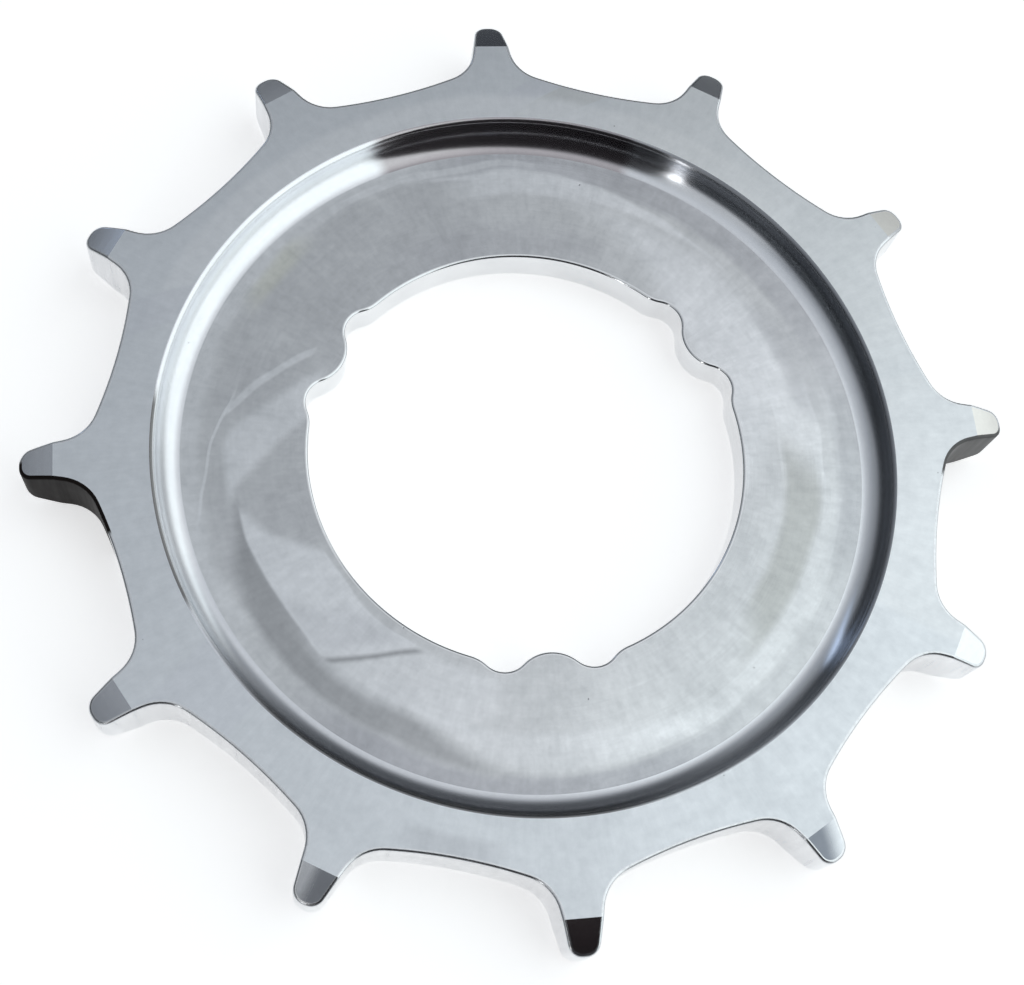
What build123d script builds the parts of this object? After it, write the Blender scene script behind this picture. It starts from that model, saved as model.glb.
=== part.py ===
"""Chain sprocket: wide-spaced teeth, a dished front face and a three-lug bore.

The part is one piece of steel. A turned blank gives the flat back, the flat
rim, the round recess in the front and the bevels of the tooth tips. The
tooth form is cut through it from front to back, and so is the bore with its
driving lugs. The axis is +Z, the flat back lies on Z = 0, the recess opens
upward, and one tooth points along +Y. All lengths are millimetres.

Each gap between two teeth seats two neighbouring rollers of the chain, so
only every second place on the pitch circle has a tooth.
"""

from build123d import *
import math
import os

# Chain and teeth
chain_pitch = 9.525          # from roller to roller
roller_diameter = 6.35
seat_clearance = 0.01        # seat radius beyond the roller's radius
tooth_count = 12
rollers_per_gap = 2
gap_floor_drop = 0.3         # mid-gap floor below the bottoms of the seats
flank_angle = 10.2           # degrees from the tooth's centre line
tooth_height = 2.41          # from the pitch circle to the tip
tip_land = 0.25              # flat left on a tip between its rounded corners
tip_bevel_length = 2.6       # radial, from the tip inward, on both faces
tip_bevel_depth = 0.97       # what the bevel takes from each face at the tip
tip_bevel_crown = 0.05       # outward bulge of the bevel at its middle

# Body
face_width = 5.4             # rim and teeth, back face to front face
rim_width = 3.44             # from the gap floor inward to the recess
recess_depth = 2.4
recess_fillet_radius = 1.7   # between the recess wall and the floor
edge_round = 0.4             # rim edge of the recess
edge_break = 0.2             # small chamfer on the tooth form and the bore

# Bore
bore_diameter = 34.7
lug_count = 3
lug_height = 1.0             # how far a lug stands inward of the bore
relief_angle = 12.3          # degrees from a lug's centre to its relief
relief_radius = 1.95         # rounded relief on each side of a lug
relief_depth = 0.7           # how far a relief goes outward of the bore
relief_blend_radius = 3.0    # where a relief runs out into the bore

# What follows from them
pitch_angle = 360 / (tooth_count * rollers_per_gap)
tooth_angle = 360 / tooth_count
pitch_radius = chain_pitch / (2 * math.sin(math.radians(pitch_angle / 2)))
seat_radius = roller_diameter / 2 + seat_clearance
seat_angle = pitch_angle * (rollers_per_gap - 1) / 2
tip_radius = pitch_radius + tooth_height
seat_bottom = pitch_radius * math.cos(math.radians(seat_angle)) - seat_radius
gap_floor_radius = seat_bottom - gap_floor_drop
recess_radius = gap_floor_radius - rim_width
web_thickness = face_width - recess_depth
bore_radius = bore_diameter / 2

# Limits
largest_round = 0.95         # share of its wall that a rounding may take
largest_land = 0.5           # share of a narrow tip that its land may take
flat_tolerance = 0.001       # an edge this near a face's height lies in it


def polar(radius: float, angle: float) -> Vector:
    """Return the point at a radius and an angle in degrees clockwise from +Y."""
    turn = math.radians(angle)
    return Vector(radius * math.sin(turn), radius * math.cos(turn))


def toward(centre: Vector, target: Vector, distance: float) -> Vector:
    """Return the point that lies a distance from the centre toward a target."""
    return centre + (target - centre).normalized() * distance


def mirrored(point: Vector) -> Vector:
    """Return the point on the other side of the line X = 0."""
    return Vector(-point.X, point.Y)


def polar_face(half: list, middle: Edge, copies: int) -> Face:
    """Return the face whose outline repeats a symmetric run of edges.

    The run crosses +Y with its middle edge, and half of it lies on each side.
    """
    run = half + [middle] + [edge.mirror(Plane.YZ) for edge in half]
    turns = [360 / copies * index for index in range(copies)]
    return make_face([edge.rotate(Axis.Z, turn) for turn in turns for edge in run]).face()


def tip_corner() -> float:
    """Return the radius of the tip's corners, which leave its land between them."""
    taper = math.radians(flank_angle)
    seat = polar(pitch_radius, seat_angle - tooth_angle / 2)
    flank = seat_radius / math.cos(taper) + (tip_radius - seat.Y) * math.tan(taper)
    half_width = -seat.X - flank
    half_land = min(tip_land / 2, largest_land * half_width)
    return (half_width - half_land) * math.cos(taper) / (1 - math.sin(taper))


def tooth_form() -> Face:
    """Return the outline of all the teeth, with one gap centred on +Y."""
    # The floor arc touches both seat circles.
    seat = polar(pitch_radius, seat_angle)
    rise = seat.Y - gap_floor_radius
    floor_radius = (seat.X**2 + rise**2 - seat_radius**2) / (2 * (rise - seat_radius))
    floor_centre = Vector(0, gap_floor_radius + floor_radius)
    seat_start = toward(floor_centre, seat, floor_radius)

    # The flank leaves the seat along the tooth's taper.
    lean = tooth_angle / 2 + flank_angle
    upward = polar(1, lean)
    inward = polar(1, lean + 90)
    flank_start = seat + inward * seat_radius

    # The tip's corner touches the flank and the tip circle.
    corner_radius = tip_corner()
    below = flank_start + inward * corner_radius
    reach = below.dot(upward)
    room = (tip_radius - corner_radius) ** 2 - below.length**2
    corner = below + upward * (math.sqrt(reach**2 + room) - reach)
    flank_end = corner - inward * corner_radius
    tip_start = toward(Vector(), corner, tip_radius)
    tip_middle = polar(tip_radius, tooth_angle / 2)

    half = [
        RadiusArc(seat_start, flank_start, -seat_radius),
        Line(flank_start, flank_end),
        RadiusArc(flank_end, tip_start, corner_radius),
        RadiusArc(tip_start, tip_middle, tip_radius),
    ]
    floor = RadiusArc(mirrored(seat_start), seat_start, -floor_radius)
    return polar_face(half, floor, tooth_count)


def bore_form() -> Face:
    """Return the outline of the bore, with one lug centred on +Y."""
    relief_reach = bore_radius + relief_depth - relief_radius
    relief = polar(relief_reach, relief_angle)

    # The lug's crest touches the reliefs on its two sides.
    crest_height = bore_radius - lug_height
    rise = crest_height - relief.Y
    crest_radius = (relief.X**2 + rise**2 - relief_radius**2) / (2 * (relief_radius - rise))
    relief_start = toward(relief, Vector(0, crest_height + crest_radius), relief_radius)

    # The blend touches the relief and the bore from the metal's side.
    blend_reach = bore_radius + relief_blend_radius
    span = relief_radius + relief_blend_radius
    spread = math.acos(
        (relief_reach**2 + blend_reach**2 - span**2) / (2 * relief_reach * blend_reach)
    )
    blend_angle = relief_angle + math.degrees(spread)
    relief_end = toward(relief, polar(blend_reach, blend_angle), relief_radius)
    bore_start = polar(bore_radius, blend_angle)

    half = [
        RadiusArc(relief_start, relief_end, relief_radius),
        RadiusArc(relief_end, bore_start, -relief_blend_radius),
        RadiusArc(bore_start, polar(bore_radius, 180 / lug_count), bore_radius),
    ]
    crest = RadiusArc(mirrored(relief_start), relief_start, -crest_radius)
    return polar_face(half, crest, lug_count)


def turned_blank() -> Solid:
    """Return the turned disc with its recess and the bevels of the tips."""
    bevel_start = tip_radius - tip_bevel_length
    slope = math.atan2(tip_bevel_depth, tip_bevel_length)
    crown_radius = tip_radius - tip_bevel_length / 2 + tip_bevel_crown * math.sin(slope)
    crown_depth = tip_bevel_depth / 2 - tip_bevel_crown * math.cos(slope)
    bevel = [
        Vector(bevel_start, 0),
        Vector(crown_radius, crown_depth),
        Vector(tip_radius, tip_bevel_depth),
    ]
    front_bevel = [Vector(point.X, face_width - point.Y) for point in reversed(bevel)]
    outside = tip_radius + tip_bevel_depth

    wall_radius = recess_radius - edge_round
    fillet_radius = min(recess_fillet_radius, largest_round * (recess_depth - edge_round))
    rim_edge = Vector(recess_radius, face_width)
    wall_top = Vector(wall_radius, face_width - edge_round)
    wall_foot = Vector(wall_radius, web_thickness + fillet_radius)
    floor_edge = Vector(wall_radius - fillet_radius, web_thickness)

    section = make_face([
        Line(Vector(), bevel[0]),
        ThreePointArc(*bevel),
        Polyline(
            bevel[2],
            Vector(outside, bevel[2].Y),
            Vector(outside, front_bevel[0].Y),
            front_bevel[0],
        ),
        ThreePointArc(*front_bevel),
        Line(front_bevel[2], rim_edge),
        RadiusArc(rim_edge, wall_top, -edge_round),
        Line(wall_top, wall_foot),
        RadiusArc(wall_foot, floor_edge, fillet_radius),
        Polyline(floor_edge, Vector(0, web_thickness), Vector()),
    ])
    return revolve(Plane.XZ * section, Axis.Z)


def flat_edges(shape: Part, height: float, reach: float) -> ShapeList:
    """Return the edges that lie flat at a height, within a reach of the axis."""
    def lies_there(edge: Edge) -> bool:
        box = edge.bounding_box()
        return (
            max(abs(box.min.Z - height), abs(box.max.Z - height)) < flat_tolerance
            and edge.center().length < math.hypot(reach, height)
        )
    return shape.edges().filter_by(lies_there)


def sprocket() -> Part:
    """Return the finished sprocket, with a tooth on +Y and a lug on -Y."""
    teeth = extrude(tooth_form().rotate(Axis.Z, tooth_angle / 2), face_width)
    levels = teeth.edges().group_by(Axis.Z)
    teeth = chamfer(levels[0] + levels[-1], edge_break)
    body = turned_blank() & teeth
    body -= extrude(bore_form().rotate(Axis.Z, 180), web_thickness)
    bore_reach = bore_radius + relief_depth
    rims = flat_edges(body, 0, bore_reach) + flat_edges(body, web_thickness, bore_reach)
    return chamfer(rims, edge_break)


os.makedirs("parts", exist_ok=True)
export_step(sprocket(), "parts/sprocket.step")
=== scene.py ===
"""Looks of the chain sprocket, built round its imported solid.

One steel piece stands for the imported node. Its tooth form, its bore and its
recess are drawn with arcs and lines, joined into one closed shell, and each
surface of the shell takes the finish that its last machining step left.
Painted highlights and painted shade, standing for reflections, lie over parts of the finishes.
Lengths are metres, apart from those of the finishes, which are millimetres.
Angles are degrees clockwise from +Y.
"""

import logging
import math
from dataclasses import dataclass
from enum import Enum

import bmesh
import bpy
from mathutils import Matrix, Vector


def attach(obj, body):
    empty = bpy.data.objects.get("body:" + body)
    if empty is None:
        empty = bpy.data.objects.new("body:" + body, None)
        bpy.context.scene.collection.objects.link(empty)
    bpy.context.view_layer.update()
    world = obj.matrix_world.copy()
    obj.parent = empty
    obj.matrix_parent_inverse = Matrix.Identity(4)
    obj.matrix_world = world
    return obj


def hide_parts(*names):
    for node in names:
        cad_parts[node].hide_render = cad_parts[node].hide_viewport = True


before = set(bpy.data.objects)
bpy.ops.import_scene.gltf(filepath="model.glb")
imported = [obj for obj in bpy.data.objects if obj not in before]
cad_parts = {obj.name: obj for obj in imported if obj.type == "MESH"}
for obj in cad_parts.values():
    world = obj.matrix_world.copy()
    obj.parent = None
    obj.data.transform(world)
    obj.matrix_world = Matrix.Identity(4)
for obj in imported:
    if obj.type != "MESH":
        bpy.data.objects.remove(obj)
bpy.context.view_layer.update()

MM = 0.001
MICRON = 0.000001
MERGE = 0.0005 * MM
FILL_SCALE = 1000.0
NOISE_MEAN = 0.5
ORIGIN = Vector((0, 0, 0))
UP = Vector((0, 0, 1))
LOG = logging.getLogger("sprocket")

Mesh = bmesh.types.BMesh
Verts = list[bmesh.types.BMVert]
Edges = list[bmesh.types.BMEdge]
Socket = bpy.types.NodeSocket
Value = Socket | float | tuple
Colour = tuple[float, float, float]


# Drawing in a mesh

def polar(radius: float, angle: float, height: float = 0.0) -> Vector:
    """Return the point at a radius, an angle clockwise from +Y and a height."""
    turn = math.radians(angle)
    return Vector((radius * math.sin(turn), radius * math.cos(turn), height))


def heading(direction: Vector) -> float:
    """Return the counter-clockwise angle of a direction from +X, in radians."""
    return math.atan2(direction.y, direction.x)


def ends(edges: Edges) -> Verts:
    """Return the vertices that some edges join, each once."""
    return list(dict.fromkeys(vertex for edge in edges for vertex in edge.verts))


def as_object(mesh: Mesh, name: str) -> bpy.types.Object:
    """Turn a finished mesh into an object of the scene.

    Args:
        mesh: The mesh, which is freed.
        name: The name of the object and of its data.

    Returns:
        The object.
    """
    data = bpy.data.meshes.new(name)
    mesh.to_mesh(data)
    mesh.free()
    made = bpy.data.objects.new(name, data)
    bpy.context.scene.collection.objects.link(made)
    return made


class Wire:
    """A run of edges that grows from one vertex along arcs and lines."""

    def __init__(self, mesh: Mesh, start: Vector) -> None:
        """Begin the run.

        Args:
            mesh: The mesh that the run is drawn in.
            start: The place of its first vertex.
        """
        self.mesh = mesh
        self.older_verts = set(mesh.verts)
        self.older_edges = set(mesh.edges)
        self.tip = bmesh.ops.create_vert(mesh, co=start)["vert"][0]

    def verts(self) -> Verts:
        """Return the vertices that the run added."""
        return [vertex for vertex in self.mesh.verts if vertex not in self.older_verts]

    def edges(self) -> Edges:
        """Return the edges that the run added."""
        return [edge for edge in self.mesh.edges if edge not in self.older_edges]

    def arc(self, centre: Vector, turn: float, steps: int, axis: Vector = UP) -> None:
        """Carry the run round a centre.

        Args:
            centre: The centre of the arc.
            turn: The angle of the arc in radians, counter-clockwise about the axis.
            steps: The number of edges along it.
            axis: The direction that it turns about.
        """
        spun = bmesh.ops.spin(self.mesh, geom=[self.tip], cent=centre, axis=axis, angle=turn, steps=steps)
        self.tip = next(item for item in spun["geom_last"] if isinstance(item, bmesh.types.BMVert))

    def line(self, reach: Vector, steps: int = 1) -> None:
        """Carry the run straight on.

        Args:
            reach: The way from its end to its new end.
            steps: The number of edges along it.
        """
        for _ in range(steps):
            self.tip = bmesh.ops.extrude_vert_indiv(self.mesh, verts=[self.tip])["verts"][0]
            bmesh.ops.translate(self.mesh, vec=reach / steps, verts=[self.tip])

    def close_round(self, copies: int, turn: float) -> Edges:
        """Mirror the run across X = 0 and repeat it round the axis into a loop.

        Args:
            copies: The number of mirrored runs in the loop.
            turn: The angle that the whole loop is turned by, clockwise.

        Returns:
            The edges of the closed loop.
        """
        half = self.verts() + self.edges()
        bmesh.ops.mirror(self.mesh, geom=half, matrix=Matrix(), merge_dist=MERGE, axis="X")
        whole = self.verts() + self.edges()
        bmesh.ops.spin(
            self.mesh, geom=whole, cent=ORIGIN, axis=UP, angle=math.tau, steps=copies, use_duplicate=True,
        )
        bmesh.ops.remove_doubles(self.mesh, verts=self.verts(), dist=MERGE)
        around = Matrix.Rotation(-math.radians(turn), 3, "Z")
        bmesh.ops.rotate(self.mesh, cent=ORIGIN, matrix=around, verts=self.verts())
        return self.edges()


class Zone(Enum):
    """The surfaces of the sprocket, each with its own finish."""

    RIM = 0
    BEVEL = 1
    RECESS = 2
    FLOOR = 3
    CUT = 4
    BORE = 5
    BACK = 6


@dataclass(frozen=True)
class ToothForm:
    """The outline of the teeth, with a roller seat at each side of every gap."""

    pitch: float = 9.525 * MM
    seat_radius: float = 3.185 * MM
    tooth_count: int = 12
    rollers_per_gap: int = 2
    floor_drop: float = 0.3 * MM
    flank_angle: float = 10.2
    tip_land: float = 0.25 * MM
    arc_steps: int = 8
    flank_steps: int = 5
    land_steps: int = 2

    @property
    def tooth_angle(self) -> float:
        """The angle from tooth to tooth."""
        return 360 / self.tooth_count

    @property
    def seat_angle(self) -> float:
        """The angle from the middle of a gap to each of its rollers."""
        return self.tooth_angle / self.rollers_per_gap / 2

    @property
    def pitch_radius(self) -> float:
        """The radius of the circle of roller places."""
        return self.pitch / (2 * math.sin(math.radians(self.seat_angle)))

    def corner_radius(self, tip_radius: float) -> float:
        """Work out the radius of a tip's corners, which leave its land between them.

        Args:
            tip_radius: The radius of the tip circle.

        Returns:
            The radius of the corners.
        """
        taper = math.radians(self.flank_angle)
        seat = polar(self.pitch_radius, -self.seat_angle)
        flank = self.seat_radius / math.cos(taper) + (tip_radius - seat.y) * math.tan(taper)
        return (-seat.x - flank - self.tip_land / 2) * math.cos(taper) / (1 - math.sin(taper))

    def loop(self, mesh: Mesh, tip_radius: float, offset: float, height: float) -> Edges:
        """Draw the outline as a closed loop, with a tooth on +Y.

        Args:
            mesh: The mesh to draw in.
            tip_radius: The radius of the tip circle.
            offset: How far the loop lies outside the true outline.
            height: The height of the loop.

        Returns:
            The edges of the loop.
        """
        seat = polar(self.pitch_radius, self.seat_angle, height)
        gap_floor = seat.y - self.seat_radius - self.floor_drop
        rise = seat.y - gap_floor
        floor_radius = (seat.x**2 + rise**2 - self.seat_radius**2) / (2 * (rise - self.seat_radius))
        floor_centre = Vector((0, gap_floor + floor_radius, height))
        lean = self.tooth_angle / 2 + self.flank_angle
        upward = polar(1, lean)
        inward = polar(1, lean + 90)

        # The corner's centre lies beside the flank and inside the tip circle.
        corner_radius = self.corner_radius(tip_radius)
        flank_start = seat + inward * self.seat_radius
        below = flank_start + inward * corner_radius
        below.z = 0
        reach = below.dot(upward)
        room = (tip_radius - corner_radius) ** 2 - below.length_squared
        flank_length = math.sqrt(reach**2 + room) - reach
        corner = below + upward * flank_length
        corner_heading = heading(corner)
        corner.z = height

        # The run goes from the middle of a gap to the middle of a tooth.
        to_seat = heading(seat - floor_centre)
        tip_middle = math.radians(90 - self.tooth_angle / 2)
        wire = Wire(mesh, Vector((0, gap_floor + offset, height)))
        wire.arc(floor_centre, to_seat + math.pi / 2, self.arc_steps)
        wire.arc(seat, heading(inward) - to_seat, self.arc_steps)
        wire.line(upward * flank_length, self.flank_steps)
        wire.arc(corner, corner_heading - heading(-inward), self.arc_steps)
        wire.arc(Vector((0, 0, height)), tip_middle - corner_heading, self.land_steps)
        return wire.close_round(self.tooth_count, self.tooth_angle / 2)


@dataclass(frozen=True)
class BoreForm:
    """The outline of the bore, with lugs that stand in it between reliefs."""

    radius: float = 17.35 * MM
    lug_count: int = 3
    lug_height: float = 1.0 * MM
    relief_angle: float = 12.3
    relief_radius: float = 1.95 * MM
    relief_depth: float = 0.7 * MM
    blend_radius: float = 3.0 * MM
    arc_steps: int = 8
    bore_steps: int = 24

    def loop(self, mesh: Mesh, offset: float, height: float) -> Edges:
        """Draw the outline as a closed loop, with a lug on -Y.

        Args:
            mesh: The mesh to draw in.
            offset: How far the loop lies inside the metal.
            height: The height of the loop.

        Returns:
            The edges of the loop.
        """
        relief_reach = self.radius + self.relief_depth - self.relief_radius
        relief = polar(relief_reach, self.relief_angle, height)
        crest = self.radius - self.lug_height
        rise = crest - relief.y
        crest_radius = (relief.x**2 + rise**2 - self.relief_radius**2) / (2 * (self.relief_radius - rise))
        crest_centre = Vector((0, crest + crest_radius, height))

        # The blend touches the relief and the bore from the metal's side.
        blend_reach = self.radius + self.blend_radius
        span = self.relief_radius + self.blend_radius
        cosine = (relief_reach**2 + blend_reach**2 - span**2) / (2 * relief_reach * blend_reach)
        blend_angle = self.relief_angle + math.degrees(math.acos(cosine))
        blend = polar(blend_reach, blend_angle, height)

        # The run goes from the middle of a lug to half-way to the next.
        to_relief = heading(relief - crest_centre)
        to_blend = heading(blend - relief)
        half_gap = 180 / self.lug_count
        wire = Wire(mesh, Vector((0, crest + offset, height)))
        wire.arc(crest_centre, to_relief + math.pi / 2, self.arc_steps)
        wire.arc(relief, to_blend - (to_relief + math.pi), self.arc_steps * 2)
        wire.arc(blend, math.radians(90 - blend_angle) - to_blend, self.arc_steps)
        wire.arc(Vector((0, 0, height)), math.radians(blend_angle - half_gap), self.bore_steps)
        return wire.close_round(self.lug_count, 180)


@dataclass
class Sprocket:
    """The whole sprocket as one closed steel shell.

    A flat hold beside each rounded edge keeps its shading true. The turned
    rings of the floor end at its inner radius, clear of the bore.
    """

    teeth: ToothForm = ToothForm()
    bore: BoreForm = BoreForm()
    face_width: float = 5.4 * MM
    tip_radius: float = 38.897 * MM
    rim_width: float = 3.44 * MM
    recess_depth: float = 2.4 * MM
    fillet_radius: float = 1.7 * MM
    edge_round: float = 0.4 * MM
    edge_break: float = 0.2 * MM
    edge_hold: float = 0.06 * MM
    bevel_length: float = 2.6 * MM
    bevel_depth: float = 0.97 * MM
    bevel_crown: float = 0.05 * MM
    bevel_cuts: int = 4
    floor_inner: float = 18.7 * MM
    ring_steps: int = 360
    fillet_steps: int = 24
    floor_steps: int = 20
    round_steps: int = 7
    crease_angle: float = 14.0

    def wall_profile(self, top: float) -> list[tuple[float, float]]:
        """Work out the profile of a wall whose two edges are rounded.

        Args:
            top: The height of the wall.

        Returns:
            The offset and the height of each of its loops, from the back up.
        """
        turns = [math.pi / 2 * step / self.round_steps for step in range(self.round_steps + 1)]
        size = self.edge_break
        rounded = [(size * (math.sin(turn) - 1), size * (1 - math.cos(turn))) for turn in turns]
        lower = [(-size - self.edge_hold, 0.0), *rounded, (0.0, size + self.edge_hold)]
        return lower + [(offset, top - height) for offset, height in reversed(lower)]

    def claim(self, mesh: Mesh, zone: Zone) -> None:
        """Give the new faces, which start out as rim, to a zone.

        Args:
            mesh: The mesh of the shell.
            zone: The zone that takes them.
        """
        for face in mesh.faces:
            if face.material_index == Zone.RIM.value:
                face.material_index = zone.value

    def stack(self, mesh: Mesh, loops: list[Edges], zone: Zone) -> None:
        """Join each loop of a stack to the next.

        Args:
            mesh: The mesh of the shell.
            loops: The edges of each loop, from the back up.
            zone: The zone of the new faces.
        """
        # The upper loop is lifted for the bridge, which can't tell loops of one plane apart.
        for lower, upper in zip(loops, loops[1:]):
            ring = ends(upper)
            bmesh.ops.translate(mesh, vec=(0, 0, self.face_width), verts=ring)
            bmesh.ops.bridge_loops(mesh, edges=lower + upper)
            bmesh.ops.translate(mesh, vec=(0, 0, -self.face_width), verts=ring)
        self.claim(mesh, zone)

    def fill(self, mesh: Mesh, edges: Edges, up: int) -> None:
        """Fill the flat region between closed loops.

        Args:
            mesh: The mesh of the shell.
            edges: The edges of the loops.
            up: 1 for a region that faces up, and -1 for one that faces down.
        """
        # The fill joins places that are closer than a fixed distance, so it works at a larger size.
        rim = ends(edges)
        bmesh.ops.scale(mesh, vec=(FILL_SCALE, FILL_SCALE, FILL_SCALE), verts=rim)
        bmesh.ops.triangle_fill(mesh, edges=edges, use_beauty=True, normal=(0, 0, up))
        bmesh.ops.scale(mesh, vec=(1 / FILL_SCALE, 1 / FILL_SCALE, 1 / FILL_SCALE), verts=rim)

    def recess(self, mesh: Mesh, gap_floor: float) -> tuple[Edges, Edges]:
        """Turn the recess from its edge to the ring of floor round the bore.

        Args:
            mesh: The mesh of the shell.
            gap_floor: The radius of the floor of the tooth gaps.

        Returns:
            The edges of the circle in the rim face and of the one in the floor.
        """
        edge = gap_floor - self.rim_width
        foot = edge - self.edge_round - self.fillet_radius
        fillet_top = self.face_width - self.recess_depth + self.fillet_radius
        across = Vector((0, 1, 0))
        wire = Wire(mesh, Vector((edge, 0, self.face_width)))
        wire.arc(Vector((edge, 0, self.face_width - self.edge_round)), -math.pi / 2, self.round_steps, across)
        wire.line(Vector((0, 0, fillet_top - self.face_width + self.edge_round)))
        wire.arc(Vector((foot, 0, fillet_top)), math.pi / 2, self.fillet_steps, across)
        wire.line(Vector((self.floor_inner - foot, 0, 0)), self.floor_steps)
        bmesh.ops.spin(
            mesh, geom=wire.verts() + wire.edges(), cent=ORIGIN, axis=UP, angle=math.tau,
            steps=self.ring_steps, use_merge=True,
        )
        bmesh.ops.remove_doubles(mesh, verts=wire.verts(), dist=MERGE)
        for face in mesh.faces:
            if face.material_index == Zone.RIM.value and face.calc_center_median().xy.length < foot:
                face.material_index = Zone.FLOOR.value
        self.claim(mesh, Zone.RECESS)
        open_edges = [item for item in wire.edges() if item.is_boundary]
        outer = [item for item in open_edges if item.verts[0].co.z > self.face_width - MERGE]
        inner = [item for item in open_edges if item not in outer]
        return outer, inner

    def tooth_reach(self, place: Vector) -> float:
        """Measure how far out a place lies along the middle of the nearest tooth.

        Args:
            place: The place.

        Returns:
            Its reach from the axis.
        """
        angle = math.atan2(place.x, place.y)
        pitch = math.radians(self.teeth.tooth_angle)
        return math.hypot(place.x, place.y) * math.cos(angle - pitch * round(angle / pitch))

    def bevel_drop(self, reach: float) -> float:
        """Work out what a tip's bevel takes from a face.

        Args:
            reach: The reach from the axis.

        Returns:
            The depth of the bevel there.
        """
        share = (reach - self.tip_radius + self.bevel_length) / self.bevel_length
        if share <= 0:
            return 0.0
        return self.bevel_depth * share - 4 * self.bevel_crown * share * (1 - share)

    def bevel_tips(self, mesh: Mesh) -> None:
        """Cut the crowned bevels into both faces of every tooth.

        Args:
            mesh: The mesh of the shell.
        """
        # Each tooth is cut across where its bevel starts and on the way to its tip, and then
        # the height of every vertex follows the bevel.
        start = self.tip_radius - self.bevel_length
        root = start - self.rim_width * 2
        for tooth in range(self.teeth.tooth_count):
            out = polar(1, tooth * self.teeth.tooth_angle)
            for cut in range(self.bevel_cuts):
                place = out * (start + cut / self.bevel_cuts * self.bevel_length)
                near = [face for face in mesh.faces if face.calc_center_median().dot(out) > root]
                geom = dict.fromkeys(near)
                for face in near:
                    geom.update(dict.fromkeys([*face.edges, *face.verts]))
                bmesh.ops.bisect_plane(mesh, geom=list(geom), dist=MERGE, plane_co=place, plane_no=out)
        for vertex in mesh.verts:
            drop = self.bevel_drop(self.tooth_reach(vertex.co))
            vertex.co.z += drop if vertex.co.z < self.face_width / 2 else -drop
        for face in mesh.faces:
            beyond = self.tooth_reach(face.calc_center_median()) > start
            if beyond and face.material_index in (Zone.RIM.value, Zone.BACK.value):
                face.material_index = Zone.BEVEL.value

    def shade(self, mesh: Mesh) -> None:
        """Smooth the shell apart from its creases, and report whether it is closed.

        Args:
            mesh: The mesh of the shell.
        """
        for face in mesh.faces:
            face.smooth = True
        crease = math.radians(self.crease_angle)
        for edge in mesh.edges:
            edge.smooth = edge.calc_face_angle(math.pi) < crease
        open_edges = sum(1 for edge in mesh.edges if len(edge.link_faces) != 2)
        LOG.info("shell: %d faces, %d open edges", len(mesh.faces), open_edges)

    def build(self) -> bpy.types.Object:
        """Build the shell, with no finish yet.

        Returns:
            The shell's object.
        """
        mesh = bmesh.new()
        outer = [
            self.teeth.loop(mesh, self.tip_radius, offset, height)
            for offset, height in self.wall_profile(self.face_width)
        ]
        self.stack(mesh, outer, Zone.CUT)
        web = self.face_width - self.recess_depth
        inner = [self.bore.loop(mesh, -offset, height) for offset, height in self.wall_profile(web)]
        self.stack(mesh, inner, Zone.BORE)
        low = min(vertex.co.xy.length for vertex in ends(outer[0]))
        recess_edge, floor_ring = self.recess(mesh, low + self.edge_break + self.edge_hold)

        self.fill(mesh, floor_ring + inner[-1], 1)
        self.claim(mesh, Zone.FLOOR)
        self.fill(mesh, outer[0] + inner[0], -1)
        self.claim(mesh, Zone.BACK)
        self.fill(mesh, outer[-1] + recess_edge, 1)
        self.bevel_tips(mesh)

        bmesh.ops.remove_doubles(mesh, verts=mesh.verts, dist=MERGE)
        bmesh.ops.recalc_face_normals(mesh, faces=mesh.faces)
        self.shade(mesh)
        piece = as_object(mesh, "sprocket_shell")
        weigh = piece.modifiers.new("even_shading", "WEIGHTED_NORMAL")
        weigh.keep_sharp = True
        return piece


# Node graphs

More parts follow.
